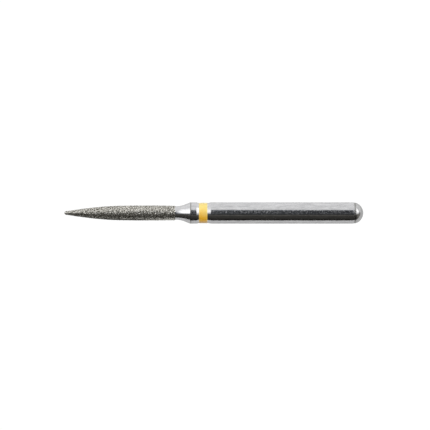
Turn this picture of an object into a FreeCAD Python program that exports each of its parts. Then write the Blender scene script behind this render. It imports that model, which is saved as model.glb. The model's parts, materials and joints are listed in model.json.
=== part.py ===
import FreeCAD, Part
import math
import os

import Sketcher

# A friction-grip diamond bur, flame shaped, with the yellow ring of the extra-fine grit.
# It lies along X: the cutting tip points to -X, the domed shank end to +X.
# The origin is on the axis, halfway along the plain shank that a handpiece chuck grips.
# Lengths are in millimetres, angles in degrees.

DRIVING_SIZES = [
    # The shank, from the ring seat to the domed end.
    ("shank_diameter", 1.60, "shank of the friction-grip kind"),
    ("grip_length", 10.65, "plain shank between the ring seat and the end taper"),
    ("end_taper_length", 0.285, "slight taper in front of the dome"),
    ("end_taper_depth", 0.035, "how far that taper comes in on the radius"),
    ("dome_height", 0.538, "domed end, from its crease to its apex"),
    # The seat turned in the shank for the ring, and the collar in front of it.
    ("seat_front_slope", 0.17, "length of the slope in front of the ring"),
    ("seat_back_slope", 0.26, "length of the slope behind the ring"),
    ("seat_slope_drop", 0.048, "how far both slopes come in on the radius"),
    ("seat_recess", 0.11, "foot of the slopes to the floor under the ring"),
    ("collar_length", 0.485, "between the shoulder and the seat"),
    # The ring of lacquer, which fills the recess flush with the feet of the slopes.
    ("ring_width", 0.635, "along the shank"),
    ("ring_swell", 0.023, "how far the middle stands above the edges"),
    ("ring_face_radius", 8.0, "long curve over the middle"),
    ("ring_corner_radius", 0.12, "rounding from that curve down to the edges"),
    # The neck, which widens from the head to the shoulder.
    ("neck_length", 1.13, "head to collar"),
    ("neck_cone_length", 0.29, "cone that ends the widening"),
    ("shoulder_radius", 0.06, "broken edge between neck and collar"),
    # The head, measured over its coating.
    ("head_length", 8.335, "from the tip to the head's back end"),
    ("head_diameter", 1.107, "at the crown, where the head is thickest"),
    ("crown_setback", 2.15, "crown to the head's back end"),
    ("barrel_radius", 120.0, "long curve over the crown"),
    ("belly_radius", 24.0, "curve between the barrel and the tip's cone"),
    ("tip_angle", 8.25, "slope of the tip's cone"),
    ("tip_radius", 0.13, "rounded tip"),
    # The coating of diamond grit bonded in nickel.
    ("coating_thickness", 0.035, "face of the grit to the steel core"),
    ("coating_edge_radius", 0.11, "rounding of the coating's back edge"),
]

# Sketch constraints number the ends and the centre of a line or an arc this way.
START, END, CENTRE = 1, 2, 3
# The number of a sketch's own X axis, whose start is the origin.
X_AXIS = -1

FULL_TURN = 360


class Size:
    """A length or angle as a number, with the formula that gives it in the sheet's aliases."""

    def __init__(self, number, formula):
        self.number = number
        self.formula = formula

    def __add__(self, other):
        return Size(self.number + other.number, f"({self.formula} + {other.formula})")

    def __sub__(self, other):
        return Size(self.number - other.number, f"({self.formula} - {other.formula})")

    def half(self):
        return Size(self.number / 2, f"({self.formula} / 2)")


def read_sizes():
    """Every driving size by its alias, and the stations and radii worked out from them."""
    size = {alias: Size(value, f"Sizes.{alias}") for alias, value, meaning in DRIVING_SIZES}
    size["none"] = Size(0.0, "0")
    size["shank_radius"] = size["shank_diameter"].half()
    size["head_radius"] = size["head_diameter"].half()
    size["crease_radius"] = size["shank_radius"] - size["end_taper_depth"]
    size["ring_edge_radius"] = size["shank_radius"] - size["seat_slope_drop"]
    size["ring_crown_radius"] = size["ring_edge_radius"] + size["ring_swell"]
    size["floor_radius"] = size["ring_edge_radius"] - size["seat_recess"]

    # Stations behind the origin, towards the domed end.
    size["grip_end"] = size["grip_length"].half()
    size["crease"] = size["grip_end"] + size["end_taper_length"]
    size["apex"] = size["crease"] + size["dome_height"]

    # Stations in front of the origin, towards the tip.
    size["seat_back"] = size["grip_length"].half()
    size["ring_back"] = size["seat_back"] + size["seat_back_slope"]
    size["ring_middle"] = size["ring_back"] + size["ring_width"].half()
    size["ring_front"] = size["ring_back"] + size["ring_width"]
    size["seat_front"] = size["ring_front"] + size["seat_front_slope"]
    size["collar_front"] = size["seat_front"] + size["collar_length"]
    size["head_back"] = size["collar_front"] + size["neck_length"]
    size["crown"] = size["head_back"] + size["crown_setback"]
    size["face_tip"] = size["head_back"] + size["head_length"]
    size["core_tip"] = size["face_tip"] - size["coating_thickness"]
    size["tip_centre"] = size["face_tip"] - size["tip_radius"]
    return size


def add_sheet(doc):
    """The spreadsheet that holds every driving size under its alias."""
    sheet = doc.addObject("Spreadsheet::Sheet", "Sizes")
    for row, (alias, value, meaning) in enumerate(DRIVING_SIZES, start=1):
        sheet.set(f"A{row}", alias)
        sheet.set(f"B{row}", str(value))
        sheet.set(f"C{row}", meaning)
        sheet.setAlias(f"B{row}", alias)
    doc.recompute()


def add_body(doc, label):
    body = doc.addObject("PartDesign::Body", label)
    body.Label = label
    body.Placement = FreeCAD.Placement()
    return body


def add_sketch(body, name):
    """An empty sketch on the body's XY plane: its X axis is the bur's axis, its Y the radius."""
    sketch = body.newObject("Sketcher::SketchObject", name)
    plane = next(item for item in body.Origin.OriginFeatures if item.Role == "XY_Plane")
    sketch.AttachmentSupport = [(plane, "")]
    sketch.MapMode = "FlatFace"
    return sketch


def add_line(sketch, start, end):
    """Draws a line between two points and returns its number."""
    return sketch.addGeometry(Part.LineSegment(FreeCAD.Vector(*start), FreeCAD.Vector(*end)))


def add_arc(sketch, centre, radius, start_angle, end_angle):
    """Draws an arc, anticlockwise between two angles in degrees, and returns its number."""
    circle = Part.Circle(FreeCAD.Vector(*centre), FreeCAD.Vector(0, 0, 1), radius)
    arc = Part.ArcOfCircle(circle, math.radians(start_angle), math.radians(end_angle))
    return sketch.addGeometry(arc)


def add_back_rounding(sketch, point, radius, drop):
    """Draws an arc that falls by drop from a level face and ends at a point behind it."""
    spread = math.acos(1 - drop / radius)
    middle = point - FreeCAD.Vector(radius * math.sin(spread), radius - drop)
    return add_arc(sketch, middle, radius, 90 - math.degrees(spread), 90)


def add_front_rounding(sketch, point, radius, drop):
    """Draws an arc that rises by drop from a point to a level face behind it."""
    spread = math.acos(1 - drop / radius)
    middle = point + FreeCAD.Vector(radius * math.sin(spread), drop - radius)
    return add_arc(sketch, middle, radius, 90, 90 + math.degrees(spread))


def tie(sketch, kind, *places):
    """Adds a constraint that has no size, such as Coincident or Tangent."""
    sketch.addConstraint(Sketcher.Constraint(kind, *places))


def dimension(sketch, name, kind, places, size, unit=""):
    """Adds a constraint whose size follows the formula."""
    value = math.radians(size.number) if kind == "Angle" else size.number
    number = sketch.addConstraint(Sketcher.Constraint(kind, *places, value))
    sketch.renameConstraint(number, name)
    sketch.setExpression(f"Constraints.{name}", size.formula + unit)


def fix_radius(sketch, name, arc, size):
    dimension(sketch, name, "Radius", (arc,), size)


def fix_slope(sketch, name, line, size):
    dimension(sketch, name, "Angle", (line,), size, unit=" * 1 deg")


def fix_in_front(sketch, name, item, end, size):
    """Fixes how far in front of the origin, towards the tip, a point lies."""
    dimension(sketch, name, "DistanceX", (item, end, X_AXIS, START), size)


def fix_behind(sketch, name, item, end, size):
    """Fixes how far behind the origin, towards the domed end, a point lies."""
    dimension(sketch, name, "DistanceX", (X_AXIS, START, item, end), size)


def fix_height(sketch, name, item, end, size):
    """Fixes how far above the bur's axis a point lies."""
    dimension(sketch, name, "DistanceY", (X_AXIS, START, item, end), size)


def fix_depth(sketch, name, item, end, size):
    """Fixes how far below the bur's axis a point lies."""
    dimension(sketch, name, "DistanceY", (item, end, X_AXIS, START), size)


def belly_centre(size):
    """Where the belly arc's centre lies, so that it touches both the tip's cone and the barrel."""
    slope = math.radians(size["tip_angle"].number)
    along = FreeCAD.Vector(math.cos(slope), math.sin(slope))
    outward = FreeCAD.Vector(-math.sin(slope), math.cos(slope))
    tip_centre = FreeCAD.Vector(-size["tip_centre"].number, 0)
    barrel_centre = FreeCAD.Vector(
        -size["crown"].number, size["head_radius"].number - size["barrel_radius"].number
    )
    # The centre lies on a line that runs along the cone, and at a known reach from the barrel's.
    belly_inset = size["belly_radius"].number - size["tip_radius"].number
    from_barrel = tip_centre - outward * belly_inset - barrel_centre
    reach = size["barrel_radius"].number - size["belly_radius"].number
    back = from_barrel.dot(along)
    travel = math.sqrt(back**2 - from_barrel.dot(from_barrel) + reach**2) - back
    return barrel_centre + from_barrel + along * travel


def draw_flame(sketch, size, prefix, skin):
    """Draws the flame's outline, skin deep under the face of the coating.

    Returns the numbers of its four pieces, from the tip to the head's back end: the rounded tip,
    the tip's cone, the belly arc and the barrel arc. They all bulge outwards, so each arc starts
    at its back end. The barrel arc is left open there.
    """
    slope = size["tip_angle"].number
    outward = FreeCAD.Vector(-math.sin(math.radians(slope)), math.cos(math.radians(slope)))
    radius = {name: size[f"{name}_radius"] - skin for name in ("tip", "belly", "barrel")}
    barrel_depth = size["barrel_radius"] - size["head_radius"]

    tip_middle = FreeCAD.Vector(-size["tip_centre"].number, 0)
    belly_middle = belly_centre(size)
    barrel_middle = FreeCAD.Vector(-size["crown"].number, -barrel_depth.number)
    cone_start = tip_middle + outward * radius["tip"].number
    cone_end = belly_middle + outward * radius["belly"].number
    join = belly_middle - barrel_middle
    join_angle = math.degrees(math.atan2(join.y, join.x))
    back_angle = 90 - math.degrees(math.asin(size["crown_setback"].number / radius["barrel"].number))

    tip = add_arc(sketch, tip_middle, radius["tip"].number, 90 + slope, 180)
    cone = add_line(sketch, cone_start, cone_end)
    belly = add_arc(sketch, belly_middle, radius["belly"].number, join_angle, 90 + slope)
    barrel = add_arc(sketch, barrel_middle, radius["barrel"].number, back_angle, join_angle)

    tie(sketch, "PointOnObject", tip, CENTRE, X_AXIS)
    tie(sketch, "PointOnObject", tip, END, X_AXIS)
    tie(sketch, "Tangent", tip, START, cone, START)
    tie(sketch, "Tangent", cone, END, belly, END)
    tie(sketch, "Tangent", belly, START, barrel, END)
    fix_in_front(sketch, f"{prefix}_tip_centre", tip, CENTRE, size["tip_centre"])
    fix_radius(sketch, f"{prefix}_tip_radius", tip, radius["tip"])
    fix_slope(sketch, f"{prefix}_tip_angle", cone, size["tip_angle"])
    fix_radius(sketch, f"{prefix}_belly_radius", belly, radius["belly"])
    fix_radius(sketch, f"{prefix}_barrel_radius", barrel, radius["barrel"])
    fix_in_front(sketch, f"{prefix}_crown", barrel, CENTRE, size["crown"])
    fix_depth(sketch, f"{prefix}_barrel_depth", barrel, CENTRE, barrel_depth)
    return tip, cone, belly, barrel


def core_back_radius(size):
    """Radius of the steel core at the head's back end, where the neck starts."""
    core_barrel = size["barrel_radius"].number - size["coating_thickness"].number
    drop = size["barrel_radius"].number - size["head_radius"].number
    return math.sqrt(core_barrel**2 - size["crown_setback"].number ** 2) - drop


def draw_neck(sketch, size, barrel):
    """Draws the neck from the core's barrel arc to the collar: a hollow, a cone and the shoulder.

    The hollow leaves the head parallel to the axis and runs into the cone, so the slope follows
    from the two ends. It is drawn a little off, for small angles, and the sketch then settles it.
    Returns the number of the shoulder arc, which starts at its back end, on the collar.
    """
    shoulder_radius = size["shoulder_radius"].number
    cone_length = size["neck_cone_length"].number
    hollow_length = size["neck_length"].number - cone_length
    neck_start = FreeCAD.Vector(-size["head_back"].number, core_back_radius(size))
    rise = size["shank_radius"].number - neck_start.y
    slope = rise / (hollow_length / 2 + cone_length)
    outward = FreeCAD.Vector(-math.sin(slope), math.cos(slope))
    shoulder_middle = FreeCAD.Vector(
        -size["collar_front"].number, size["shank_radius"].number - shoulder_radius
    )
    hollow_radius = hollow_length / math.sin(slope)
    hollow_middle = neck_start + FreeCAD.Vector(0, hollow_radius)
    cone_start = hollow_middle - outward * hollow_radius
    cone_end = shoulder_middle + outward * shoulder_radius
    angle = math.degrees(slope)

    hollow = add_arc(sketch, hollow_middle, hollow_radius, 270, 270 + angle)
    cone = add_line(sketch, cone_start, cone_end)
    shoulder = add_arc(sketch, shoulder_middle, shoulder_radius, 90, 90 + angle)

    tie(sketch, "Coincident", barrel, START, hollow, START)
    tie(sketch, "Vertical", hollow, START, hollow, CENTRE)
    tie(sketch, "Tangent", hollow, END, cone, START)
    tie(sketch, "Tangent", cone, END, shoulder, END)
    fix_in_front(sketch, "head_back", hollow, START, size["head_back"])
    fix_radius(sketch, "shoulder_radius", shoulder, size["shoulder_radius"])
    fix_in_front(sketch, "collar_front", shoulder, START, size["collar_front"])
    dimension(sketch, "cone_length", "DistanceX", (cone, START, cone, END), size["neck_cone_length"])
    return shoulder


def draw_shank(sketch, size, shoulder, tip):
    """Draws the shank, its end taper and dome, and closes the outline along the axis."""
    shank_height = size["shank_radius"].number
    shank_start = FreeCAD.Vector(-size["collar_front"].number, shank_height)
    shank_end = FreeCAD.Vector(size["grip_end"].number, shank_height)
    crease = FreeCAD.Vector(size["crease"].number, size["crease_radius"].number)
    apex = FreeCAD.Vector(size["apex"].number, 0)
    # The dome is the cap of a ball that passes through the crease and the apex.
    rise = size["dome_height"].number
    dome_radius = (crease.y**2 + rise**2) / (2 * rise)
    dome_middle = apex - FreeCAD.Vector(dome_radius, 0)
    dome_angle = math.degrees(math.atan2(crease.y, crease.x - dome_middle.x))
    core_tip = FreeCAD.Vector(-size["core_tip"].number, 0)

    shank = add_line(sketch, shank_start, shank_end)
    taper = add_line(sketch, shank_end, crease)
    dome = add_arc(sketch, dome_middle, dome_radius, 0, dome_angle)
    axis = add_line(sketch, apex, core_tip)

    tie(sketch, "Tangent", shoulder, START, shank, START)
    tie(sketch, "Horizontal", shank)
    tie(sketch, "Coincident", shank, END, taper, START)
    tie(sketch, "Coincident", taper, END, dome, END)
    tie(sketch, "PointOnObject", dome, CENTRE, X_AXIS)
    tie(sketch, "PointOnObject", dome, START, X_AXIS)
    tie(sketch, "Coincident", dome, START, axis, START)
    tie(sketch, "Coincident", axis, END, tip, END)
    fix_height(sketch, "shank_radius", shank, END, size["shank_radius"])
    fix_behind(sketch, "grip_end", shank, END, size["grip_end"])
    fix_behind(sketch, "crease", taper, END, size["crease"])
    fix_height(sketch, "crease_radius", taper, END, size["crease_radius"])
    fix_behind(sketch, "apex", dome, START, size["apex"])


def draw_seat(sketch, size):
    """Draws what the ring seat takes from the shank: two slopes and the recess between them."""
    rim = size["shank_radius"]
    foot = size["ring_edge_radius"]
    floor = size["floor_radius"]
    clear = rim + size["seat_slope_drop"]
    corners = [
        ("front_rim", size["seat_front"], rim),
        ("front_foot", size["ring_front"], foot),
        ("front_floor", size["ring_front"], floor),
        ("back_floor", size["ring_back"], floor),
        ("back_foot", size["ring_back"], foot),
        ("back_rim", size["seat_back"], rim),
        ("back_clear", size["seat_back"], clear),
        ("front_clear", size["seat_front"], clear),
    ]
    points = [FreeCAD.Vector(-station.number, height.number) for name, station, height in corners]
    sides = [add_line(sketch, a, b) for a, b in zip(points, points[1:] + points[:1])]
    for side, following in zip(sides, sides[1:] + sides[:1]):
        tie(sketch, "Coincident", side, END, following, START)
    for side, (name, station, height) in zip(sides, corners):
        fix_in_front(sketch, f"{name}_station", side, START, station)
        fix_height(sketch, f"{name}_radius", side, START, height)


def revolve(body, kind, name, sketch):
    """Turns a sketch about the bur's axis: kind is Revolution, which adds, or Groove, which cuts."""
    feature = body.newObject(f"PartDesign::{kind}", name)
    feature.Profile = sketch
    feature.ReferenceAxis = (sketch, ["H_Axis"])
    feature.Angle = FULL_TURN
    body.Tip = feature
    return feature


def make_blank(doc, size):
    """The steel blank, turned in one piece from the core of the head to the domed end."""
    body = add_body(doc, "blank")
    outline = add_sketch(body, "turned_outline")
    tip, cone, belly, barrel = draw_flame(outline, size, "core", size["coating_thickness"])
    shoulder = draw_neck(outline, size, barrel)
    draw_shank(outline, size, shoulder, tip)
    turned = revolve(body, "Revolution", "turned_blank", outline)

    section = add_sketch(body, "seat_section")
    draw_seat(section, size)
    seat = revolve(body, "Groove", "ring_seat", section)
    doc.recompute()
    if not seat.Shape.Volume < turned.Shape.Volume:
        raise RuntimeError("the ring seat cuts nothing from the blank")
    return body


def make_coating(doc, size):
    """The coating: a skin over the head's core, open at the back, where the neck leaves it."""
    body = add_body(doc, "diamond_coating")
    section = add_sketch(body, "coating_section")
    outer = draw_flame(section, size, "face", size["none"])
    inner = draw_flame(section, size, "core", size["coating_thickness"])
    outer_tip, outer_barrel = outer[0], outer[-1]
    inner_tip, inner_barrel = inner[0], inner[-1]

    # The back edge leaves the face in a tangent curve and meets the core at the head's back end.
    head_back = FreeCAD.Vector(-size["head_back"].number, core_back_radius(size))
    thickness = size["coating_thickness"].number
    edge = add_back_rounding(section, head_back, size["coating_edge_radius"].number, thickness)
    face_tip = FreeCAD.Vector(-size["face_tip"].number, 0)
    core_tip = FreeCAD.Vector(-size["core_tip"].number, 0)
    tip_wall = add_line(section, face_tip, core_tip)

    tie(section, "Tangent", outer_barrel, START, edge, END)
    tie(section, "Coincident", edge, START, inner_barrel, START)
    tie(section, "Coincident", outer_tip, END, tip_wall, START)
    tie(section, "Coincident", inner_tip, END, tip_wall, END)
    fix_radius(section, "coating_edge_radius", edge, size["coating_edge_radius"])
    fix_in_front(section, "head_back", edge, START, size["head_back"])
    revolve(body, "Revolution", "coating_skin", section)
    return body


def make_ring(doc, size):
    """The ring of coloured lacquer, which fills the recess and swells between its two edges."""
    body = add_body(doc, "colour_ring")
    section = add_sketch(body, "ring_section")
    front_floor = FreeCAD.Vector(-size["ring_front"].number, size["floor_radius"].number)
    back_floor = FreeCAD.Vector(-size["ring_back"].number, size["floor_radius"].number)
    front_edge = FreeCAD.Vector(front_floor.x, size["ring_edge_radius"].number)
    back_edge = FreeCAD.Vector(back_floor.x, size["ring_edge_radius"].number)
    swell = size["ring_swell"].number
    corner_radius = size["ring_corner_radius"].number
    face_depth = size["ring_face_radius"] - size["ring_crown_radius"]
    face_middle = FreeCAD.Vector(-size["ring_middle"].number, -face_depth.number)
    corner_run = math.sqrt(2 * corner_radius * swell - swell**2)
    face_reach = size["ring_width"].number / 2 - corner_run
    spread = math.degrees(math.asin(face_reach / size["ring_face_radius"].number))

    floor = add_line(section, front_floor, back_floor)
    back_side = add_line(section, back_floor, back_edge)
    back_corner = add_back_rounding(section, back_edge, corner_radius, swell)
    face = add_arc(section, face_middle, size["ring_face_radius"].number, 90 - spread, 90 + spread)
    front_corner = add_front_rounding(section, front_edge, corner_radius, swell)
    front_side = add_line(section, front_edge, front_floor)

    tie(section, "Horizontal", floor)
    tie(section, "Vertical", back_side)
    tie(section, "Vertical", front_side)
    tie(section, "Coincident", floor, END, back_side, START)
    tie(section, "Coincident", back_side, END, back_corner, START)
    tie(section, "Tangent", back_corner, END, face, START)
    tie(section, "Tangent", face, END, front_corner, START)
    tie(section, "Coincident", front_corner, END, front_side, START)
    tie(section, "Coincident", front_side, END, floor, START)
    fix_in_front(section, "ring_front", floor, START, size["ring_front"])
    fix_in_front(section, "ring_back", floor, END, size["ring_back"])
    fix_height(section, "floor_radius", floor, START, size["floor_radius"])
    fix_height(section, "back_edge", back_corner, START, size["ring_edge_radius"])
    fix_height(section, "front_edge", front_corner, END, size["ring_edge_radius"])
    fix_radius(section, "back_corner", back_corner, size["ring_corner_radius"])
    fix_radius(section, "front_corner", front_corner, size["ring_corner_radius"])
    fix_in_front(section, "face_station", face, CENTRE, size["ring_middle"])
    fix_depth(section, "face_depth", face, CENTRE, face_depth)
    fix_radius(section, "face_radius", face, size["ring_face_radius"])
    revolve(body, "Revolution", "ring_lacquer", section)
    return body


def check(doc, bodies):
    """Stops if any object failed, a sketch is loose, or a body isn't one sound solid."""
    for item in doc.Objects:
        if "Invalid" in item.State or "Error" in item.State:
            raise RuntimeError(f"{item.Name} failed: {item.State}")
        if item.TypeId == "Sketcher::SketchObject" and not item.FullyConstrained:
            raise RuntimeError(f"{item.Name} is not fully constrained")
    for body in bodies:
        shape = body.Shape
        if shape.isNull() or not shape.isValid() or len(shape.Solids) != 1:
            raise RuntimeError(f"{body.Label} is not one sound solid")


def main():
    doc = FreeCAD.newDocument("dental_bur")
    add_sheet(doc)
    size = read_sizes()
    bodies = [make_blank(doc, size), make_coating(doc, size), make_ring(doc, size)]
    doc.recompute()
    check(doc, bodies)
    os.makedirs("parts", exist_ok=True)
    for body in bodies:
        body.Shape.exportStep(f"parts/{body.Label}.step")
        print(f"{body.Label}: {body.Shape.Volume:.4f} cubic mm")


main()
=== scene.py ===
"""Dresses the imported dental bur: ground and polished steel, grit on the head and a lacquered ring."""
import json
import math

import bmesh
import bpy
import numpy as np
from mathutils import Matrix, Vector, noise


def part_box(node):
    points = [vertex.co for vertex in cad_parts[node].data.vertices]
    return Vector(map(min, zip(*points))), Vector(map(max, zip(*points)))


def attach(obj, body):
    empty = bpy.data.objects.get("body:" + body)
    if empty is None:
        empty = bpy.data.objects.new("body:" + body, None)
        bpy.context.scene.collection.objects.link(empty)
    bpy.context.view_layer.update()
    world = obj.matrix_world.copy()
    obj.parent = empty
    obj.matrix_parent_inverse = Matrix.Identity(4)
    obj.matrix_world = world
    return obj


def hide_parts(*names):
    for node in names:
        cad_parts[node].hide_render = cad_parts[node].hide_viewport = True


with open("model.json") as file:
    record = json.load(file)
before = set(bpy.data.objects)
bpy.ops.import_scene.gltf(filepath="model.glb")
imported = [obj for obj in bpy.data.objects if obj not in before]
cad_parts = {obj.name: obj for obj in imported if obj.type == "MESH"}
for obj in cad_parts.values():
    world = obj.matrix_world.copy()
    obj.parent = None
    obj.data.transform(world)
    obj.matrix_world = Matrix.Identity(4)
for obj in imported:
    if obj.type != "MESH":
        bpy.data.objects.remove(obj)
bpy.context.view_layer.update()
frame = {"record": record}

MM = 0.001
RANDOM_SEED = 58

# Places along the axis and radii that the frame gives, in metres
head_low, head_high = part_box("diamond_coating")
blank_low, blank_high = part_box("blank")
ring_low, ring_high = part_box("colour_ring")
grip = frame["record"]["mounts"][0]["dims"]

TIP = head_low.x
CORE_TIP = blank_low.x
HEAD_BACK = head_high.x
RING_FRONT = ring_low.x
RING_BACK = ring_high.x
APEX = blank_high.x
HEAD_RADIUS = head_high.z
RING_RADIUS = ring_high.z
SHANK_RADIUS = grip["r_mm"] * MM
GRIP_END = grip["length_mm"] * MM / 2
COAT = CORE_TIP - TIP

# Head: a flame of a tip ball, a cone, a belly arc and a long barrel arc over the crown
CROWN_SETBACK = 2.15 * MM
CROWN = HEAD_BACK - CROWN_SETBACK
TIP_RADIUS = 0.13 * MM
TIP_ANGLE = math.radians(8.25)
BELLY_RADIUS = 24.0 * MM
BARREL_RADIUS = 120.0 * MM
COAT_EDGE_RADIUS = 0.11 * MM

# Neck, collar and ring seat
NECK_LENGTH = 1.13 * MM
NECK_CONE_LENGTH = 0.29 * MM
SHOULDER_RADIUS = 0.06 * MM
# Length of the dark band of painted shade behind the shoulder
PAINTED_SHADE_LENGTH = 0.08 * MM
SEAT_FRONT_SLOPE = 0.17 * MM
SEAT_BACK_SLOPE = 0.26 * MM
SEAT_SLOPE_DROP = 0.048 * MM
SEAT_FLOOR_DROP = 0.158 * MM
COLLAR_FRONT = HEAD_BACK + NECK_LENGTH
SEAT_FRONT = RING_FRONT - SEAT_FRONT_SLOPE
SEAT_BACK = RING_BACK + SEAT_BACK_SLOPE
SLOPE_FOOT_RADIUS = SHANK_RADIUS - SEAT_SLOPE_DROP
SEAT_FLOOR_RADIUS = SHANK_RADIUS - SEAT_FLOOR_DROP

# Lacquer ring
RING_FACE_RADIUS = 8.0 * MM
RING_CORNER_RADIUS = 0.12 * MM
RING_WAVE = 0.004 * MM
FACE_FOOT_RADIUS = SLOPE_FOOT_RADIUS - 0.01 * MM

# Back end, whose crease is worn round
END_TAPER_LENGTH = 0.285 * MM
END_TAPER_DEPTH = 0.035 * MM
WORN_RADIUS = 0.26 * MM
CREASE = GRIP_END + END_TAPER_LENGTH
CREASE_RADIUS = SHANK_RADIUS - END_TAPER_DEPTH

# Smoothness of the turned forms
TURN_SEGMENTS = 256
BOND_STEP = 0.026 * MM

# Nickel bond: its depth under the coat's face, its lumps, and the hollow that closes it inside
BOND_SINK = 0.018 * MM
LUMP_SIZE = 0.05 * MM
FINE_LUMP_SIZE = 0.026 * MM
LUMP_HEIGHT = 0.014 * MM
FULL_LUMP_RADIUS = 0.1 * MM
HOLLOW_RADIUS = 0.3 * MM
HOLLOW_TIP = TIP + 0.6 * MM

# Grains, where a pair is the least and the most, and the stray is a share of the spacing
GRAIN_FORMS = 32
GRAIN_SPACING = 0.072 * MM
ROW_SPACING = GRAIN_SPACING * 0.87
GRAIN_STRAY = 0.35
GRAIN_REACH_MM = (0.032, 0.052)
GRAIN_RISE_MM = (-0.002, 0.014)
GRAIN_TILT = math.radians(9)
LOST_GRAINS = 0.1
TOP_SHADES = (0.84, 1.0)
# Grain sides get painted shade: this share of their top's grey.
SIDE_PAINTED_SHADE = 0.2

# Steel finishes: two tones, least and most roughness, anisotropy, and depth of the grinding marks
STEEL_FINISHES = {
    "ground": (((0.49, 0.49, 0.50), (0.71, 0.71, 0.72)), (0.04, 0.20), 0.75, 0.007 * MM),
    "polished": (((0.60, 0.60, 0.61), (0.68, 0.68, 0.69)), (0.12, 0.20), 0.3, 0.001 * MM),
    # The dull finish is rougher, and darker as painted shade for thin bands by the shoulder and before
    # the crease.
    "dull_painted_shade": (((0.28, 0.28, 0.27), (0.38, 0.38, 0.37)), (0.24, 0.36), 0.3, 0.002 * MM),
    "tumbled": (((0.46, 0.46, 0.46), (0.56, 0.56, 0.56)), (0.12, 0.18), 0.0, 0.003 * MM),
}

# Floor, and the painted shadow on it in front of the head
FLOOR_HALF = 0.6
FLOOR_TONE = (0.68, 0.68, 0.68)
PAINTED_SHADOW_TONE = (0.07, 0.07, 0.07)
PAINTED_SHADOW_FRONT = (-9.0 * MM, -4.0 * MM)
PAINTED_SHADOW_BACK = (-0.8 * MM, 0.6 * MM)
PAINTED_SHADOW_RIGHT = (HEAD_BACK - 3.0 * MM, HEAD_BACK - 1.0 * MM)
SCATTER_DIMNESS = 0.6
# The floor's glow: painted light, faint in front of the bur and rising behind it
FLOOR_GLOW = (0.05, 0.33)
FLOOR_GLOW_RISE = (0.8 * MM, 3.0 * MM)
SEEN_WHITE = 1.03

# Brightness in the tent, where its lit wall is about 1, and its tints
WALL = 0.97
OPENING_GLOOM = (0.018, 0.055)
SEAM_GLOW = 0.13
SIDE_GLOOM = 0.26
LEFT_GLOW = 0.9
LEFT_LAMP = 0.9
RIGHT_LAMP = 2.7
LAMPS_AT_WALL = 0.8
END_WALL = 0.75
END_WALL_FRONT = 0.2
SOFT_FILL = 1.05
WARM = (1.0, 0.96, 0.87)
COOL = (0.95, 1.0, 1.09)
WHITE = (1.0, 1.0, 1.0)

# Where things in the tent begin and end, as leans in degrees from overhead towards the back wall
WALL_LEANS = (23, 41)
OPENING_LEANS = (-85, -45)
SEAM_LEAN = -28.5
SEAM_HALF_WIDTHS = (2, 6)
LEFT_EDGE_LEAN = -17
LEFT_EDGE_WIDTH = 52
LEFT_EDGE_SHARPNESS = 0.85
LEFT_EDGE_SHARPENING = 2.4
RIGHT_EDGE_LEANS = (-30, 35)
LAMPS_BACK_LEANS = (26, 44)
SOFT_FILL_LEANS = (-70, -10)
TINT_LEANS = (-24, -10)

# The same, as the part of a direction that lies along the bur, to the back or upward
SIDE_GLOOM_REACH = (0.35, 0.9)
LEFT_GLOW_REACH = (-0.14, 0.0)
LEFT_LAMP_REACH = (-0.5, -0.14)
RIGHT_LAMP_REACH = (0.26, 0.5)
LAMPS_LOW_EDGE = (0.30, 0.42)
END_WALL_REACH = (0.86, 0.97)
END_WALL_DEPTH = (-0.12, 0.12)

# Camera, square above the bur and so far off that it shows next to no perspective
CAMERA_PLACE = (-5.013 * MM, -0.152 * MM, 179.9 * MM)
LENS_MM = 200
SENSOR_MM = 36


# Outlines, as lists of (place along the axis, radius)


def arc_points(centre, radius, start, end, count):
    """Points on an arc between two angles, measured from the +X direction."""
    angles = np.linspace(start, end, count)
    return [(centre[0] + radius * math.cos(a), centre[1] + radius * math.sin(a)) for a in angles]


def line_points(start, end, count):
    """Points on a straight line, ends included."""
    steps = np.linspace(0, 1, count)
    return [(start[0] + (end[0] - start[0]) * s, start[1] + (end[1] - start[1]) * s) for s in steps]


def joined(*runs):
    """One outline from runs that follow each other, without the points that they share."""
    outline = list(runs[0])
    for run in runs[1:]:
        outline += run[1:]
    return outline


def belly_centre():
    """Centre of the belly arc, which touches both the tip's cone and the barrel arc."""
    along = Vector((math.cos(TIP_ANGLE), math.sin(TIP_ANGLE)))
    outward = Vector((-math.sin(TIP_ANGLE), math.cos(TIP_ANGLE)))
    tip_centre = Vector((TIP + TIP_RADIUS, 0))
    barrel_centre = Vector((CROWN, HEAD_RADIUS - BARREL_RADIUS))
    from_barrel = tip_centre - outward * (BELLY_RADIUS - TIP_RADIUS) - barrel_centre
    reach = BARREL_RADIUS - BELLY_RADIUS
    back = from_barrel.dot(along)
    travel = math.sqrt(back**2 - from_barrel.dot(from_barrel) + reach**2) - back
    return barrel_centre + from_barrel + along * travel


def flame_outline(skin, back=HEAD_BACK, fineness=1):
    """The head's outline from the tip to its back end, inside the true one by skin."""
    outward = Vector((-math.sin(TIP_ANGLE), math.cos(TIP_ANGLE)))
    tip_centre = Vector((TIP + TIP_RADIUS, 0))
    belly = belly_centre()
    barrel = Vector((CROWN, HEAD_RADIUS - BARREL_RADIUS))
    join = belly - barrel
    join_angle = math.atan2(join.y, join.x)
    back_angle = math.acos((back - CROWN) / (BARREL_RADIUS - skin))
    cone_angle = math.pi / 2 + TIP_ANGLE
    tip_run = arc_points(tip_centre, TIP_RADIUS - skin, math.pi, cone_angle, 8 * fineness)
    cone_end = belly + outward * (BELLY_RADIUS - skin)
    cone_run = line_points(tip_run[-1], cone_end, 6 * fineness)
    belly_run = arc_points(belly, BELLY_RADIUS - skin, cone_angle, join_angle, 24 * fineness)
    barrel_run = arc_points(barrel, BARREL_RADIUS - skin, join_angle, back_angle, 20 * fineness)
    outline = joined(tip_run, cone_run, belly_run, barrel_run)
    outline[0] = (outline[0][0], 0.0)
    return outline


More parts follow.
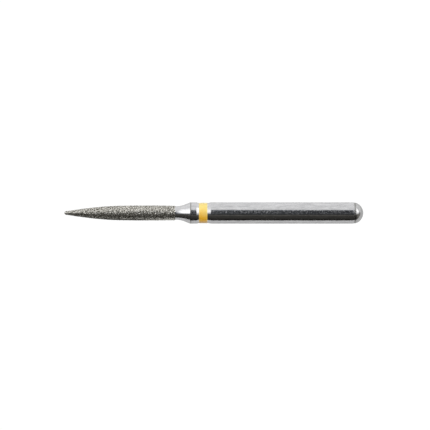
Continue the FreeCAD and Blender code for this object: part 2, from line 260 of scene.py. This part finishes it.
def coat_outline(skin, fineness):
    """The coat's outer outline with its rounded back edge, down to the steel."""
    core_radius = flame_outline(COAT)[-1][1]
    edge_depth = COAT_EDGE_RADIUS - COAT
    edge_start = HEAD_BACK - math.sqrt(COAT_EDGE_RADIUS**2 - edge_depth**2)
    flame = flame_outline(skin, edge_start, fineness)
    radius = COAT_EDGE_RADIUS - skin
    centre = (edge_start, flame[-1][1] - radius)
    end_angle = math.asin(min(1.0, (core_radius - centre[1]) / radius))
    return joined(flame, arc_points(centre, radius, math.pi / 2, end_angle, 5 * fineness))


def neck_outline(start_radius):
    """The hollow and cone from the head to the shoulder, then the shoulder's rounding."""
    hollow_length = NECK_LENGTH - NECK_CONE_LENGTH
    slope = (SHANK_RADIUS - start_radius) / (hollow_length / 2 + NECK_CONE_LENGTH)
    for _ in range(6):
        angle = math.atan(slope)
        shoulder_foot = SHOULDER_RADIUS * (1 - math.cos(angle))
        shoulder_reach = SHOULDER_RADIUS * math.sin(angle)
        rise = SHANK_RADIUS - start_radius - shoulder_foot
        hollow_reach = hollow_length - shoulder_reach
        hollow_rise = hollow_reach * (1 - math.cos(angle)) / math.sin(angle)
        slope = (rise - hollow_rise) / NECK_CONE_LENGTH
    radius = hollow_reach / math.sin(angle)
    hollow_centre = (HEAD_BACK, start_radius + radius)
    hollow = arc_points(hollow_centre, radius, -math.pi / 2, angle - math.pi / 2, 28)
    shoulder_centre = (COLLAR_FRONT, SHANK_RADIUS - SHOULDER_RADIUS)
    shoulder = arc_points(shoulder_centre, SHOULDER_RADIUS, angle + math.pi / 2, math.pi / 2, 12)
    cone = line_points(hollow[-1], shoulder[0], 8)
    return joined(hollow, cone, shoulder)


def end_outlines():
    """The end taper, and the ball cap from its worn crease to the apex."""
    height = APEX - CREASE
    dome_radius = (CREASE_RADIUS**2 + height**2) / (2 * height)
    dome_centre = Vector((APEX - dome_radius, 0))
    taper = math.atan((SHANK_RADIUS - CREASE_RADIUS) / END_TAPER_LENGTH)
    outward = Vector((math.sin(taper), math.cos(taper)))
    # The worn crease is an arc that touches both the taper and the dome.
    depth = outward.dot(Vector((CREASE, CREASE_RADIUS)) - dome_centre) - WORN_RADIUS
    reach = dome_radius - WORN_RADIUS
    dome_angle = math.asin(depth / reach) - taper
    worn_centre = dome_centre + Vector((math.cos(dome_angle), math.sin(dome_angle))) * reach
    worn = arc_points(worn_centre, WORN_RADIUS, math.pi / 2 - taper, dome_angle, 6)
    dome = arc_points(dome_centre, dome_radius, dome_angle, 0, 26)
    dome[-1] = (APEX, 0.0)
    return line_points((GRIP_END, SHANK_RADIUS), worn[0], 7), joined(worn, dome)


# Mesh building


def turned_mesh(name, outline, segments, closed=False):
    """A mesh that turns an outline about the X axis. Outline ends on the axis become single points.

    Returns the object and, for each face, the number of the outline's step that made it.
    """
    angles = np.linspace(0, 2 * math.pi, segments, endpoint=False)
    corners, rings = [], []
    for x, radius in outline:
        if radius < MM * 1e-6:
            rings.append([len(corners)] * segments)
            corners.append((x, 0.0, 0.0))
        else:
            rings.append(list(range(len(corners), len(corners) + segments)))
            corners += [(x, radius * math.cos(a), radius * math.sin(a)) for a in angles]
    faces, steps = [], []
    pairs = list(zip(rings, rings[1:]))
    if closed:
        pairs.append((rings[-1], rings[0]))
    for step, (front, back) in enumerate(pairs):
        if front[0] == front[1] and back[0] == back[1]:
            continue
        for i in range(segments):
            j = (i + 1) % segments
            face = [front[i], front[j], back[j], back[i]]
            face = [c for k, c in enumerate(face) if c != face[k - 1]]
            faces.append(face)
            steps.append(step)
    mesh = bpy.data.meshes.new(name)
    mesh.from_pydata(corners, [], faces)
    mesh.validate()
    piece = bpy.data.objects.new(name, mesh)
    bpy.context.scene.collection.objects.link(piece)
    return piece, steps


def smooth(piece, sharp_angle):
    """Smooth shading, with edges above an angle kept sharp."""
    piece.data.shade_smooth()
    piece.data.set_sharp_from_angle(angle=math.radians(sharp_angle))


def dress(piece, slot, materials, *nodes):
    """Gives a piece its materials and body, and has it stand for CAD nodes by hiding them. The slot is
    not used.
    """
    for material in materials:
        piece.data.materials.append(material)
    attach(piece, "root")
    if nodes:
        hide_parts(*nodes)
    return piece


# Shader building


def add_node(tree, kind, **settings):
    """A new shader node with its settings."""
    node = tree.nodes.new(kind)
    for key, value in settings.items():
        setattr(node, key, value)
    return node


def join(tree, source, target):
    """Sets a socket: by a link if the source is a socket, and by its value if it is a number."""
    if isinstance(source, bpy.types.NodeSocket):
        tree.links.new(source, target)
    else:
        target.default_value = source


def calculate(tree, operation, first, *others):
    """The result of a math operation on one value, or on several values in turn."""
    result = first
    for other in others or (0.0,):
        node = add_node(tree, "ShaderNodeMath", operation=operation)
        join(tree, result, node.inputs[0])
        join(tree, other, node.inputs[1])
        result = node.outputs[0]
    return result


def remap(tree, value, low, high, to_low, to_high, shape="SMOOTHSTEP"):
    """Value from one range to another, clamped, with smooth ends unless the shape says otherwise."""
    node = add_node(tree, "ShaderNodeMapRange", interpolation_type=shape)
    join(tree, value, node.inputs["Value"])
    for name, number in zip(("From Min", "From Max", "To Min", "To Max"), (low, high, to_low, to_high)):
        node.inputs[name].default_value = number
    return node.outputs["Result"]


def remap_lean(tree, lean, degrees, to_low, to_high, shape="SMOOTHSTEP"):
    """A remap between two leans given in degrees."""
    low, high = (math.radians(angle) for angle in degrees)
    return remap(tree, lean, low, high, to_low, to_high, shape)


def coordinates(tree, kind):
    """The X, Y and Z of a place on a piece, or of a direction in the world."""
    place = add_node(tree, "ShaderNodeTexCoord")
    parts = add_node(tree, "ShaderNodeSeparateXYZ")
    join(tree, place.outputs[kind], parts.inputs[0])
    return parts.outputs


def noise_field(tree, stretch, detail=2.0, roughness=0.5):
    """Noise in the piece's own coordinates, with a frequency per metre along each axis."""
    place = add_node(tree, "ShaderNodeTexCoord")
    mapping = add_node(tree, "ShaderNodeMapping")
    mapping.inputs["Scale"].default_value = stretch
    field = add_node(tree, "ShaderNodeTexNoise")
    field.inputs["Scale"].default_value = 1.0
    field.inputs["Detail"].default_value = detail
    field.inputs["Roughness"].default_value = roughness
    join(tree, place.outputs["Object"], mapping.inputs["Vector"])
    join(tree, mapping.outputs["Vector"], field.inputs["Vector"])
    return field.outputs["Fac"]


def blend_colours(tree, factor, first, second):
    """A mix of two colours by a factor. Each colour is a socket or three numbers."""
    node = add_node(tree, "ShaderNodeMix", data_type="RGBA")
    join(tree, factor, node.inputs["Factor"])
    for name, colour in (("A", first), ("B", second)):
        is_socket = isinstance(colour, bpy.types.NodeSocket)
        join(tree, colour if is_socket else (*colour, 1.0), node.inputs[name])
    return node.outputs["Result"]


def new_material(name):
    """A material with its tree and its principled shader."""
    material = bpy.data.materials.new(name)
    material.use_nodes = True
    return material, material.node_tree, material.node_tree.nodes["Principled BSDF"]


def add_bump(tree, shader, height, distance):
    """Bump from a height field, over a distance in metres."""
    bump = add_node(tree, "ShaderNodeBump")
    bump.inputs["Strength"].default_value = 1.0
    bump.inputs["Distance"].default_value = distance
    join(tree, height, bump.inputs["Height"])
    join(tree, bump.outputs["Normal"], shader.inputs["Normal"])


def steel_material(name, colours, roughness, anisotropy, dents):
    """Steel with grinding marks round the axis, which spread its highlights along the axis."""
    material, tree, shader = new_material(name)
    shader.inputs["Metallic"].default_value = 1.0
    shader.inputs["Anisotropic"].default_value = anisotropy
    shader.inputs["Anisotropic Rotation"].default_value = 0.25
    tangent = add_node(tree, "ShaderNodeTangent", direction_type="RADIAL", axis="X")
    join(tree, tangent.outputs["Tangent"], shader.inputs["Tangent"])
    patches = noise_field(tree, (1300, 7500, 7500), detail=4.0, roughness=0.8)
    blotches = remap(tree, patches, 0.3, 0.7, 0.0, 1.0)
    join(tree, blend_colours(tree, blotches, *colours), shader.inputs["Base Color"])
    streaks = noise_field(tree, (9000, 9000, 9000), detail=1.0)
    join(tree, remap(tree, streaks, 0.4, 0.65, *roughness), shader.inputs["Roughness"])
    add_bump(tree, shader, noise_field(tree, (6700, 3400, 3400), detail=2.0), dents)
    return material


def lacquer_material():
    """Glossy yellow lacquer with painted light: paler towards +Y and near both edges, deeper orange
    towards -Y as painted shade.
    """
    material, tree, shader = new_material("yellow_lacquer")
    # The lacquer's two colours: the deep one also serves as painted shade, the pale one as painted
    # light.
    deep, pale = (0.98, 0.50, 0.01), (0.88, 0.69, 0.17)
    x, y, _ = coordinates(tree, "Object")
    middle = (RING_FRONT + RING_BACK) / 2
    from_middle = calculate(tree, "ABSOLUTE", calculate(tree, "SUBTRACT", x, middle))
    # Painted highlights: paler towards both edges of the ring.
    painted_edge_highlight = remap(tree, from_middle, 0.18 * MM, 0.30 * MM, 0.0, 0.35)
    # Painted light and shade: paler towards +Y, deeper towards -Y.
    painted_lit_side = remap(tree, y, -0.5 * MM, 0.6 * MM, 0.0, 1.0, "LINEAR")
    cloud = noise_field(tree, (1500, 2500, 2500))
    mottle = remap(tree, cloud, 0.3, 0.7, -0.15, 0.15)
    # The paleness sums the painted highlights, the painted light and shade, and a random mottle.
    paleness = calculate(tree, "ADD", painted_lit_side, painted_edge_highlight, mottle)
    join(tree, blend_colours(tree, paleness, deep, pale), shader.inputs["Base Color"])
    join(tree, remap(tree, cloud, 0.3, 0.7, 0.22, 0.34), shader.inputs["Roughness"])
    shader.inputs["Coat Weight"].default_value = 1.0
    shader.inputs["Coat IOR"].default_value = 1.65
    shader.inputs["Coat Roughness"].default_value = 0.28
    add_bump(tree, shader, noise_field(tree, (5000, 5000, 5000)), 0.006 * MM)
    return material


def bond_material():
    """Nickel that holds the grit, kept dark as painted shade in the crevices between the grains."""
    material, tree, shader = new_material("nickel_bond")
    # The nickel's own greys, kept dark as painted shade for the crevices between the grains.
    dark, light = (0.07, 0.064, 0.05), (0.19, 0.178, 0.142)
    shader.inputs["Metallic"].default_value = 0.9
    tone = noise_field(tree, (14000, 14000, 14000), detail=3.0)
    join(tree, blend_colours(tree, tone, dark, light), shader.inputs["Base Color"])
    join(tree, remap(tree, tone, 0.3, 0.7, 0.35, 0.6), shader.inputs["Roughness"])
    add_bump(tree, shader, tone, 0.01 * MM)
    return material


def grit_material():
    """Diamond grains: each has its own grey on top, and sides darkened as painted shade between the
    grains.
    """
    material, tree, shader = new_material("diamond_grains")
    dark, light = (0.034, 0.031, 0.024), (1.0, 0.975, 0.9)
    shader.inputs["Metallic"].default_value = 0.97
    shade = add_node(tree, "ShaderNodeAttribute", attribute_name="grain_tone_and_painted_shade")
    join(tree, blend_colours(tree, shade.outputs["Fac"], dark, light), shader.inputs["Base Color"])
    tone = noise_field(tree, (20000, 20000, 20000))
    join(tree, remap(tree, tone, 0.3, 0.7, 0.18, 0.36), shader.inputs["Roughness"])
    return material


# Pieces of the bur


def seat_outline():
    """The ring seat from its front slope to its back slope, with its floor under the ring."""
    return joined(
        line_points((SEAT_FRONT, SHANK_RADIUS), (RING_FRONT, SLOPE_FOOT_RADIUS), 5),
        line_points((RING_FRONT, SLOPE_FOOT_RADIUS), (RING_FRONT, SEAT_FLOOR_RADIUS), 3),
        line_points((RING_FRONT, SEAT_FLOOR_RADIUS), (RING_BACK, SEAT_FLOOR_RADIUS), 3),
        line_points((RING_BACK, SEAT_FLOOR_RADIUS), (RING_BACK, SLOPE_FOOT_RADIUS), 3),
        line_points((RING_BACK, SLOPE_FOOT_RADIUS), (SEAT_BACK, SHANK_RADIUS), 5),
    )


def make_blank():
    """The turned steel blank, true to the CAD outline but finer, ground and polished by zone, with two
    dull bands darkened as painted shade.
    """
    core = flame_outline(COAT)
    painted_shade_end = COLLAR_FRONT + PAINTED_SHADE_LENGTH
    taper, dome = end_outlines()
    zones = [
        ("polished", core),
        ("polished", neck_outline(core[-1][1])),
        # Painted shade: a dark band just behind the shoulder.
        ("dull_painted_shade", line_points((COLLAR_FRONT, SHANK_RADIUS), (painted_shade_end, SHANK_RADIUS), 2)),
        ("ground", line_points((painted_shade_end, SHANK_RADIUS), (SEAT_FRONT, SHANK_RADIUS), 4)),
        ("polished", seat_outline()),
        ("ground", line_points((SEAT_BACK, SHANK_RADIUS), (GRIP_END, SHANK_RADIUS), 24)),
        ("ground", taper[:4]),
        # Painted shade: a dark band on the taper, just before the crease.
        ("dull_painted_shade", taper[3:]),
        ("tumbled", dome),
    ]
    outline = joined(*[run for _, run in zones])
    finishes = [finish for finish, run in zones for _ in run[1:]]
    piece, steps = turned_mesh("steel_blank", outline, TURN_SEGMENTS)
    names = list(STEEL_FINISHES)
    for face, step in zip(piece.data.polygons, steps):
        face.material_index = names.index(finishes[step])
    smooth(piece, 5)
    materials = [steel_material(f"{name}_steel", *STEEL_FINISHES[name]) for name in names]
    return dress(piece, "steel", materials, "blank")


def ring_outline():
    """The ring's crowned face with both rounded edges, and its bore on the seat's floor."""
    middle = (RING_FRONT + RING_BACK) / 2
    half = (RING_BACK - RING_FRONT) / 2
    swell = RING_RADIUS - SLOPE_FOOT_RADIUS
    # The long face arc and the corner arc meet where both lean by the same angle.
    corner_drop = swell
    for _ in range(8):
        end_lean = math.acos(1 - corner_drop / RING_CORNER_RADIUS)
        corner_reach = RING_CORNER_RADIUS * math.sin(end_lean)
        face_lean = math.asin((half - corner_reach) / (RING_FACE_RADIUS - RING_CORNER_RADIUS))
        corner_drop = swell - (RING_FACE_RADIUS - RING_CORNER_RADIUS) * (1 - math.cos(face_lean))
    face_centre = (middle, RING_RADIUS - RING_FACE_RADIUS)
    face_end = math.pi / 2 - face_lean
    back_face = arc_points(face_centre, RING_FACE_RADIUS, math.pi / 2, face_end, 9)
    corner_centre = (
        back_face[-1][0] - RING_CORNER_RADIUS * math.sin(face_lean),
        back_face[-1][1] - RING_CORNER_RADIUS * math.cos(face_lean),
    )
    corner = arc_points(corner_centre, RING_CORNER_RADIUS, face_end, math.pi / 2 - end_lean, 8)
    half_face = joined(back_face, corner)
    front_face = [(2 * middle - x, radius) for x, radius in reversed(half_face)]
    face = joined(front_face, half_face)
    return [(RING_FRONT, SEAT_FLOOR_RADIUS), *face, (RING_BACK, SEAT_FLOOR_RADIUS)]


def make_ring():
    """The lacquer ring: crowned, rounded at both edges, its face a little uneven."""
    piece, _ = turned_mesh("lacquer_ring", ring_outline(), TURN_SEGMENTS, closed=True)
    for corner in piece.data.vertices:
        radius = math.hypot(corner.co.y, corner.co.z)
        if radius > FACE_FOOT_RADIUS:
            direction = Vector((0, corner.co.y, corner.co.z)) / radius
            wave = noise.noise(direction * 3.0 + Vector((corner.co.x / MM, 0, 0)))
            corner.co += direction * wave * RING_WAVE
    smooth(piece, 40)
    return dress(piece, "ring_lacquer", [lacquer_material()], "colour_ring")


def make_bond():
    """The nickel layer under the grains, lumpy where it wraps them."""
    stations = resample(coat_outline(BOND_SINK, 3), BOND_STEP)
    inner = [(HEAD_BACK - COAT, HOLLOW_RADIUS), (HOLLOW_TIP, 0.0)]
    outline = stations + inner
    segments = round(2 * math.pi * HEAD_RADIUS / BOND_STEP)
    piece, _ = turned_mesh("nickel_bond", outline, segments)
    for corner in piece.data.vertices:
        radius = math.hypot(corner.co.y, corner.co.z)
        if radius < MM * 1e-6:
            continue
        direction = Vector((0, corner.co.y, corner.co.z)) / radius
        lump = noise.noise(corner.co / LUMP_SIZE) + 0.5 * noise.noise(corner.co / FINE_LUMP_SIZE)
        corner.co += direction * lump * LUMP_HEIGHT * min(1.0, radius / FULL_LUMP_RADIUS)
    smooth(piece, 60)
    return dress(piece, "diamond_grit", [bond_material()], "diamond_coating")


def resample(outline, step):
    """An outline's points at even steps along it, ends included."""
    points = np.array(outline)
    lengths = np.hypot(*np.diff(points, axis=0).T)
    travelled = np.concatenate([[0], np.cumsum(lengths)])
    wanted = np.linspace(0, travelled[-1], round(travelled[-1] / step) + 1)
    xs = np.interp(wanted, travelled, points[:, 0])
    radii = np.interp(wanted, travelled, points[:, 1])
    return list(zip(xs.tolist(), radii.tolist()))


def grain_forms(random, count):
    """Blocky crystals as corners, triangles and whether each triangle is on the uneven flat top."""
    forms = []
    for _ in range(count):
        shell = bmesh.new()
        for height, reach in ((-0.5, 1.0), (0.42, 0.72)):
            sides = random.integers(5, 7)
            angles = (np.arange(sides) + random.uniform(-0.3, 0.3, sides)) * 2 * math.pi / sides
            radii = reach * random.uniform(0.85, 1.15, sides)
            heights = height + random.uniform(-0.07, 0.07, sides)
            for angle, radius, level in zip(angles, radii, heights):
                shell.verts.new((radius * math.cos(angle), radius * math.sin(angle), level))
        bmesh.ops.convex_hull(shell, input=shell.verts)
        bmesh.ops.triangulate(shell, faces=shell.faces)
        shell.verts.index_update()
        corners = np.array([corner.co for corner in shell.verts])
        shell.normal_update()
        faces = [[corner.index for corner in face.verts] for face in shell.faces]
        tops = [face.normal.z > 0.8 for face in shell.faces]
        forms.append((corners, faces, tops))
        shell.free()
    return forms


def tilted(spin, tilt, lean):
    """Rotation that spins a crystal about its own height, then tips it a little."""
    spun = Matrix.Rotation(spin, 3, "Z")
    tipped = Matrix.Rotation(tilt, 3, Vector((math.cos(lean), math.sin(lean), 0)))
    return np.array(tipped @ spun)


def grain_seats(random):
    """For each grain its centre, its directions along, aside and out of the coat, and its reach."""
    rows = resample(coat_outline(BOND_SINK, 3), ROW_SPACING)
    slopes = np.gradient(np.array(rows), axis=0)
    slopes /= np.linalg.norm(slopes, axis=1)[:, None]
    for (x, radius), (run, rise) in zip(rows, slopes):
        around = max(1, round(2 * math.pi * radius / GRAIN_SPACING))
        start = random.uniform(0, 2 * math.pi)
        for i in range(around):
            angle = start + (i + random.uniform(-GRAIN_STRAY, GRAIN_STRAY)) * 2 * math.pi / around
            from_axis = np.array((0, math.cos(angle), math.sin(angle)))
            along = np.array((run, 0, 0)) + rise * from_axis
            out = np.array((-rise, 0, 0)) + run * from_axis
            reach = random.uniform(*GRAIN_REACH_MM) * MM
            centre = np.array((x, 0, 0)) + from_axis * radius
            centre = centre + along * random.uniform(-GRAIN_STRAY, GRAIN_STRAY) * GRAIN_SPACING
            centre = centre + out * random.uniform(*GRAIN_RISE_MM) * MM
            yield centre, np.array([along, np.cross(out, along), out]), reach


def make_grit():
    """The diamond grains, bedded in the bond over the whole head, each a closed crystal."""
    random = np.random.default_rng(RANDOM_SEED)
    forms = grain_forms(random, GRAIN_FORMS)
    corners, faces, face_tones_and_painted_shade = [], [], []
    for centre, directions, reach in grain_seats(random):
        if random.uniform() < LOST_GRAINS:
            continue
        form, form_faces, tops = forms[random.integers(len(forms))]
        spin = random.uniform(0, 2 * math.pi)
        tilt = random.normal(0, GRAIN_TILT)
        turn = tilted(spin, tilt, random.uniform(0, 2 * math.pi))
        first = len(corners)
        corners += (centre + (form * reach) @ turn.T @ directions).tolist()
        faces += [[first + corner for corner in face] for face in form_faces]
        top_shade = random.uniform(*TOP_SHADES)
        # Tops keep the grain's own grey; sides are darkened as painted shade.
        face_tones_and_painted_shade += [top_shade if top else top_shade * SIDE_PAINTED_SHADE for top in tops]
    mesh = bpy.data.meshes.new("diamond_grit")
    mesh.from_pydata(corners, [], faces)
    attribute = mesh.attributes.new("grain_tone_and_painted_shade", "FLOAT", "FACE")
    attribute.data.foreach_set("value", np.array(face_tones_and_painted_shade, np.float32))
    piece = bpy.data.objects.new("diamond_grit", mesh)
    bpy.context.scene.collection.objects.link(piece)
    return dress(piece, "diamond_grit", [grit_material()])


# Floor, light and camera


def floor_material():
    """White floor, seen even by the camera, and mirrored in the bur with a painted shadow in front of
    the head.
    """
    material, tree, shader = new_material("white_floor")
    shader.inputs["Roughness"].default_value = 0.9
    shader.inputs["Specular IOR Level"].default_value = 0.0
    shader.inputs["Emission Color"].default_value = (*WHITE, 1.0)
    x, y, _ = coordinates(tree, "Object")
    # Painted shadow: the floor is dark in front of the head, short of its back end.
    before = remap(tree, y, *PAINTED_SHADOW_BACK, 1.0, 0.0)
    beyond = remap(tree, y, *PAINTED_SHADOW_FRONT, 0.0, 1.0)
    leftward = remap(tree, x, *PAINTED_SHADOW_RIGHT, 1.0, 0.0)
    painted_shadow = calculate(tree, "MULTIPLY", before, beyond, leftward)
    # What scatters light, as the lacquer does, gets less of it from the floor than the steel shows.
    rays = add_node(tree, "ShaderNodeLightPath")
    held_back = calculate(tree, "MULTIPLY", rays.outputs["Is Diffuse Ray"], SCATTER_DIMNESS)
    dimness = calculate(tree, "MAXIMUM", painted_shadow, held_back)
    # Base colour: the floor's grey, or the painted shadow's dark tone where it is dimmed.
    join(tree, blend_colours(tree, dimness, FLOOR_TONE, PAINTED_SHADOW_TONE), shader.inputs["Base Color"])
    # Painted light: the floor glows faintly in front of the bur and more behind it, and less where it
    # is dimmed.
    glow = remap(tree, y, *FLOOR_GLOW_RISE, *FLOOR_GLOW)
    lit = calculate(tree, "SUBTRACT", 1.0, dimness)
    join(tree, calculate(tree, "MULTIPLY", glow, lit), shader.inputs["Emission Strength"])
    seen = add_node(tree, "ShaderNodeEmission")
    seen.inputs["Strength"].default_value = SEEN_WHITE
    choice = add_node(tree, "ShaderNodeMixShader")
    join(tree, rays.outputs["Is Camera Ray"], choice.inputs[0])
    join(tree, shader.outputs[0], choice.inputs[1])
    join(tree, seen.outputs[0], choice.inputs[2])
    join(tree, choice.outputs[0], tree.nodes["Material Output"].inputs["Surface"])
    return material


def make_floor():
    """A plain pale floor that the bur lies on."""
    corners = ((-1, -1), (1, -1), (1, 1), (-1, 1))
    places = [(x * FLOOR_HALF, y * FLOOR_HALF, -SHANK_RADIUS) for x, y in corners]
    mesh = bpy.data.meshes.new("floor")
    mesh.from_pydata(places, [], [(0, 1, 2, 3)])
    mesh.materials.append(floor_material())
    floor = bpy.data.objects.new("floor", mesh)
    bpy.context.scene.collection.objects.link(floor)


def dark_opening(tree, lean, x):
    """The tent's dark opening overhead and in front, with its paler seam and grey right side."""
    gloom = remap_lean(tree, lean, OPENING_LEANS, *OPENING_GLOOM)
    from_seam = calculate(tree, "SUBTRACT", lean, math.radians(SEAM_LEAN))
    off_seam = calculate(tree, "ABSOLUTE", from_seam)
    seam = remap_lean(tree, off_seam, SEAM_HALF_WIDTHS, SEAM_GLOW, 0.0)
    side = remap(tree, x, *SIDE_GLOOM_REACH, 0.0, SIDE_GLOOM, "LINEAR")
    return calculate(tree, "MAXIMUM", gloom, seam, side)


def side_lamps(tree, lean, x, z):
    """The soft lamps past the bur's left and right ends."""
    left_glow = remap(tree, x, *LEFT_GLOW_REACH, LEFT_GLOW, 0.0, "LINEAR")
    left_lamp = remap(tree, x, *LEFT_LAMP_REACH, LEFT_LAMP, 0.0, "LINEAR")
    # The left lamp's front edge is soft near the middle of the bur and sharper towards its end.
    sideways = calculate(tree, "ABSOLUTE", x)
    sharpening = calculate(tree, "MULTIPLY", sideways, LEFT_EDGE_SHARPENING)
    sharpness = calculate(tree, "ADD", sharpening, LEFT_EDGE_SHARPNESS)
    from_edge = calculate(tree, "SUBTRACT", lean, math.radians(LEFT_EDGE_LEAN))
    sharpened = calculate(tree, "MULTIPLY", from_edge, sharpness)
    left_edge = remap_lean(tree, sharpened, (0, LEFT_EDGE_WIDTH), 0.0, 1.0, "LINEAR")
    left = calculate(tree, "MULTIPLY", calculate(tree, "ADD", left_glow, left_lamp), left_edge)
    right_lamp = remap(tree, x, *RIGHT_LAMP_REACH, 0.0, RIGHT_LAMP)
    right_edge = remap_lean(tree, lean, RIGHT_EDGE_LEANS, 0.0, 1.0, "LINEAR")
    right = calculate(tree, "MULTIPLY", right_lamp, right_edge)
    back_edge = remap_lean(tree, lean, LAMPS_BACK_LEANS, 1.0, LAMPS_AT_WALL)
    low_edge = remap(tree, z, *LAMPS_LOW_EDGE, 0.0, 1.0)
    edges = calculate(tree, "MULTIPLY", back_edge, low_edge)
    return calculate(tree, "MULTIPLY", calculate(tree, "ADD", left, right), edges)


def make_tent():
    """A white tent lit from behind the bur, with a dark opening overhead and in front."""
    world = bpy.data.worlds.new("light_tent")
    bpy.context.scene.world = world
    world.use_nodes = True
    tree = world.node_tree
    background = tree.nodes["Background"]
    x, y, z = coordinates(tree, "Generated")
    lean = calculate(tree, "ARCTAN2", y, z)
    wall = remap_lean(tree, lean, WALL_LEANS, 0.0, WALL)
    # The wall past the bur's back end is dimmer in front.
    reach = remap(tree, x, *END_WALL_REACH, 0.0, END_WALL)
    depth = remap(tree, y, *END_WALL_DEPTH, END_WALL_FRONT, 1.0)
    end_wall = calculate(tree, "MULTIPLY", reach, depth)
    opening = dark_opening(tree, lean, x)
    lamps = side_lamps(tree, lean, x, z)
    # What scatters light gets a soft fill from overhead.
    rays = add_node(tree, "ShaderNodeLightPath")
    overhead = remap_lean(tree, lean, SOFT_FILL_LEANS, 0.0, SOFT_FILL)
    fill = calculate(tree, "MULTIPLY", rays.outputs["Is Diffuse Ray"], overhead)
    strength = calculate(tree, "MAXIMUM", wall, opening, lamps, end_wall, fill)
    shown = add_node(tree, "ShaderNodeMix", data_type="FLOAT")
    join(tree, rays.outputs["Is Camera Ray"], shown.inputs["Factor"])
    join(tree, strength, shown.inputs["A"])
    join(tree, 1.0, shown.inputs["B"])
    join(tree, shown.outputs["Result"], background.inputs["Strength"])
    # What is dark is cool overhead and warm in front of the bur.
    tint = blend_colours(tree, remap_lean(tree, lean, TINT_LEANS, 0.0, 1.0), WARM, COOL)
    paleness = remap(tree, strength, 0.15, 0.8, 0.0, 1.0)
    join(tree, blend_colours(tree, paleness, tint, WHITE), background.inputs["Color"])


def make_camera():
    """A long lens square above the bur."""
    data = bpy.data.cameras.new("camera")
    data.lens = LENS_MM
    data.sensor_width = SENSOR_MM
    data.clip_start = 0.01
    data.clip_end = 10
    camera = bpy.data.objects.new("camera", data)
    camera.location = CAMERA_PLACE
    bpy.context.scene.collection.objects.link(camera)
    bpy.context.scene.camera = camera


make_blank()
make_ring()
make_bond()
make_grit()
make_floor()
make_tent()
make_camera()
bpy.context.scene.view_settings.view_transform = "Standard"
